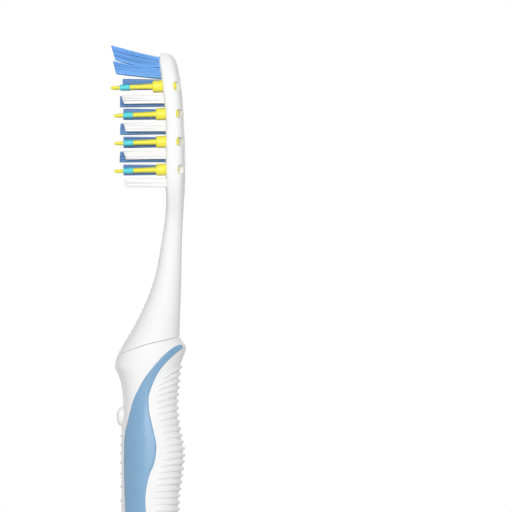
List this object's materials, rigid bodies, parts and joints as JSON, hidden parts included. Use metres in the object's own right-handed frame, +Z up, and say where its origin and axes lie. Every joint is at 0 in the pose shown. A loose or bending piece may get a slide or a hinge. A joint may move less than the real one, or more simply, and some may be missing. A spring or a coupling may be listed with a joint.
{
  "type": "battery-powered toothbrush",
  "caption": "Slim battery toothbrush with a split, flexing head, long tip tufts, elastomer pins, side and ribbed back grips, push button and pull-off end cap.",
  "frame": {"origin": "centre of the flat base of the end cap", "axes": "+Z up the brush from base to head, -X the way the bristles point, +Y across to the right half of the head"},
  "size_m": [0.018, 0.0166, 0.1883],
  "materials": {
    "white_plastic": "satin",
    "white_grip": "matt",
    "blue_grip": "matt",
    "white_bristle": "satin",
    "blue_bristle": "satin",
    "yellow_elastomer": "satin",
    "cyan_elastomer": "satin",
    "grey_plastic": "matt",
    "black_plastic": "matt",
    "black_rubber": "matt",
    "steel": "brushed",
    "contact_metal": "bright",
    "cell_jacket": "gloss"
  },
  "bodies": {
    "handle": {"handle_shell": "white_plastic", "neck_shell": "white_plastic", "left_grip": "blue_grip", "right_grip": "blue_grip", "rear_grip": "white_grip", "thumb_pad": "white_grip", "switch_body": "black_plastic", "chassis": "grey_plastic", "positive_contact": "contact_metal", "negative_strip": "contact_metal", "motor_can": "steel", "motor_end_bell": "grey_plastic", "motor_sleeve": "black_rubber"},
    "left_head": {"left_head_half": "white_plastic", "left_white_tufts": "white_bristle", "left_blue_tufts": "blue_bristle", "left_pin_1": "yellow_elastomer", "left_pin_2": "yellow_elastomer", "left_pin_3": "yellow_elastomer", "left_pin_4": "yellow_elastomer", "left_pin_band_1": "cyan_elastomer", "left_pin_band_2": "cyan_elastomer", "left_pin_band_3": "cyan_elastomer", "left_pin_band_4": "cyan_elastomer"},
    "right_head": {"right_head_half": "white_plastic", "right_white_tufts": "white_bristle", "right_blue_tufts": "blue_bristle", "right_pin_1": "yellow_elastomer", "right_pin_2": "yellow_elastomer", "right_pin_3": "yellow_elastomer", "right_pin_4": "yellow_elastomer", "right_pin_band_1": "cyan_elastomer", "right_pin_band_2": "cyan_elastomer", "right_pin_band_3": "cyan_elastomer", "right_pin_band_4": "cyan_elastomer"},
    "button": {"power_button": "white_plastic"},
    "plunger": {"switch_plunger": "black_plastic"},
    "rotor": {"motor_shaft": "steel", "eccentric_weight": "steel"},
    "cell": {"cell_can": "cell_jacket", "cell_seal": "black_plastic", "cell_button": "steel"},
    "cap": {"end_cap": "white_plastic", "cap_ring": "black_rubber", "cap_plate": "contact_metal", "cap_spring": "steel"}
  },
  "joints": [
    {"name": "left_head_flex", "type": "hinge", "parent": "handle", "child": "left_head", "pos_m": [0.00598, 0, 0.1545], "axis": [0, 1, 0], "range_deg": [-4, 4], "stiffness_Nm_per_rad": 0.05},
    {"name": "right_head_flex", "type": "hinge", "parent": "handle", "child": "right_head", "pos_m": [0.00598, 0, 0.1545], "axis": [0, 1, 0], "range_deg": [-4, 4], "stiffness_Nm_per_rad": 0.05},
    {"name": "button_press", "type": "slide", "parent": "handle", "child": "button", "axis": [1, 0, 0], "range_m": [0, 0.0006], "stiffness_N_per_m": 500},
    {"name": "plunger_press", "type": "slide", "parent": "handle", "child": "plunger", "axis": [1, 0, 0], "range_m": [0, 0.0006]},
    {"name": "rotor_spin", "type": "hinge", "parent": "handle", "child": "rotor", "pos_m": [0.0003, 0, 0.12], "axis": [0, 0, 1], "continuous": true},
    {"name": "cap_pull", "type": "slide", "parent": "handle", "child": "cap", "axis": [0, 0, -1], "range_m": [0, 0.06]},
    {"name": "cell_pull", "type": "slide", "parent": "handle", "child": "cell", "axis": [0, 0, -1], "range_m": [0, 0.06]}
  ],
  "couplings": [
    {"joint": "plunger_press", "follows": "button_press", "ratio": 1},
    {"joint": "cell_pull", "follows": "cap_pull", "ratio": 1}
  ]
}
